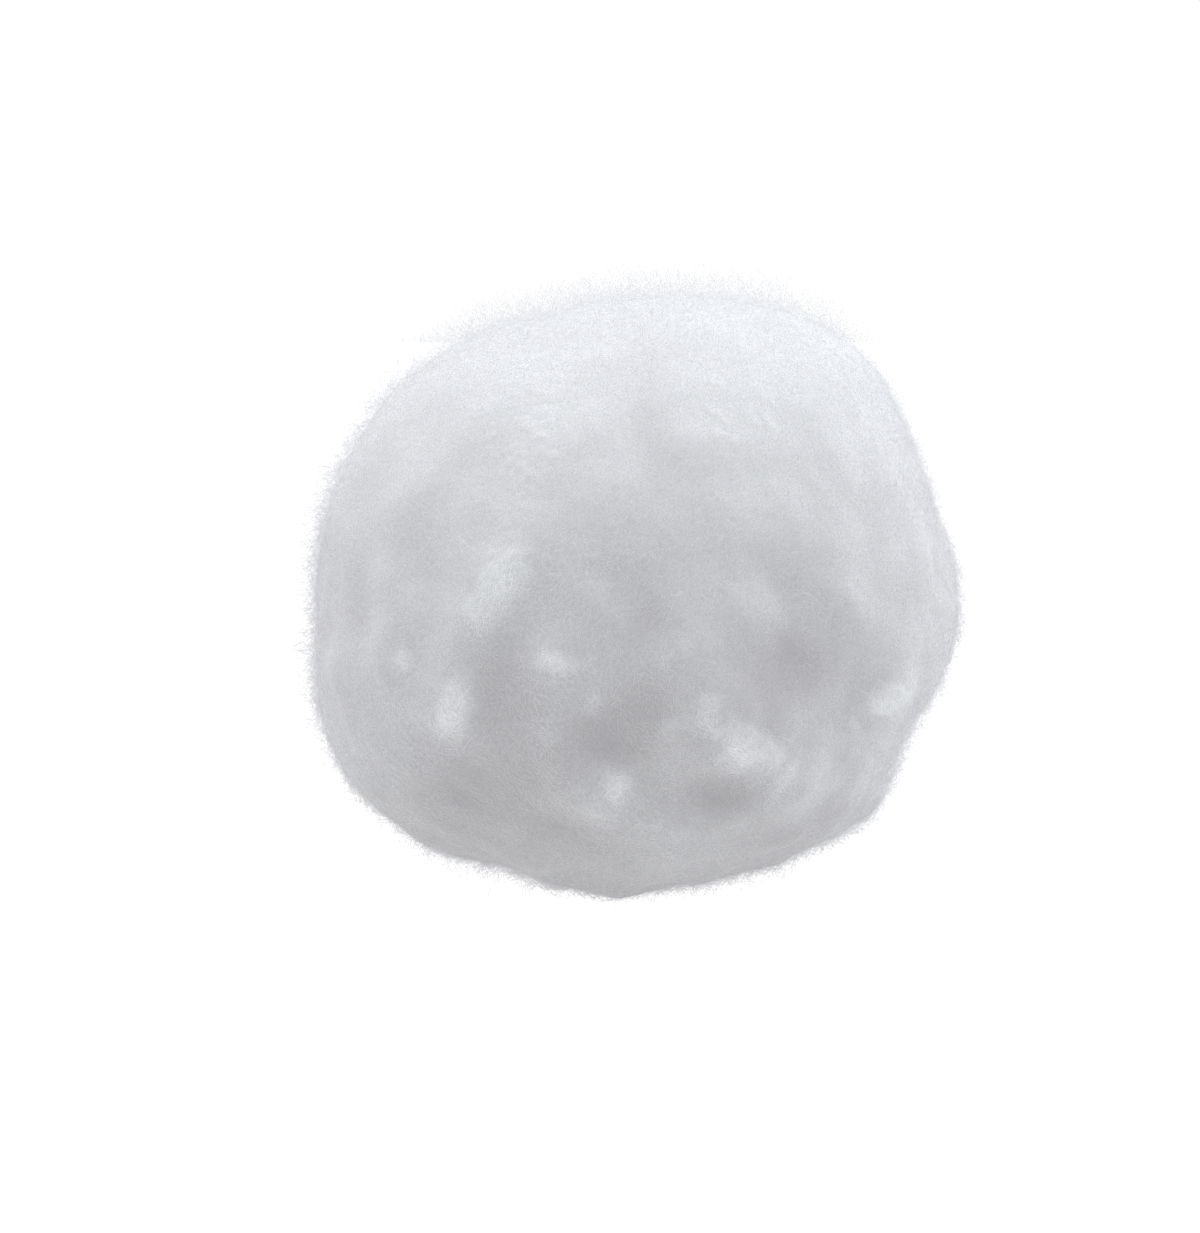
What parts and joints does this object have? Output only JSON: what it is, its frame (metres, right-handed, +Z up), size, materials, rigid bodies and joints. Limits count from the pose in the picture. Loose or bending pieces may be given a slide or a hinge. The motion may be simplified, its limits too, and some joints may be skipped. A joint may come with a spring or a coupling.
{
  "type": "pool filter ball",
  "caption": "Soft lumpy ball of matted white fibre that catches fine dirt as loose media in a pool filter tank.",
  "frame": {"origin": "on the plane the ball rests on, under the middle of its box", "axes": "+X across, along the widest way of the ball; +Z up from the flattened rest spot; the front as pictured faces -Y"},
  "size_m": [0.0442, 0.043, 0.0404],
  "materials": {
    "white_fibre": "matt white matted staple fibre, hazy at the edge"
  },
  "bodies": {
    "root": {"fibre_ball": "white_fibre"}
  },
  "joints": []
}
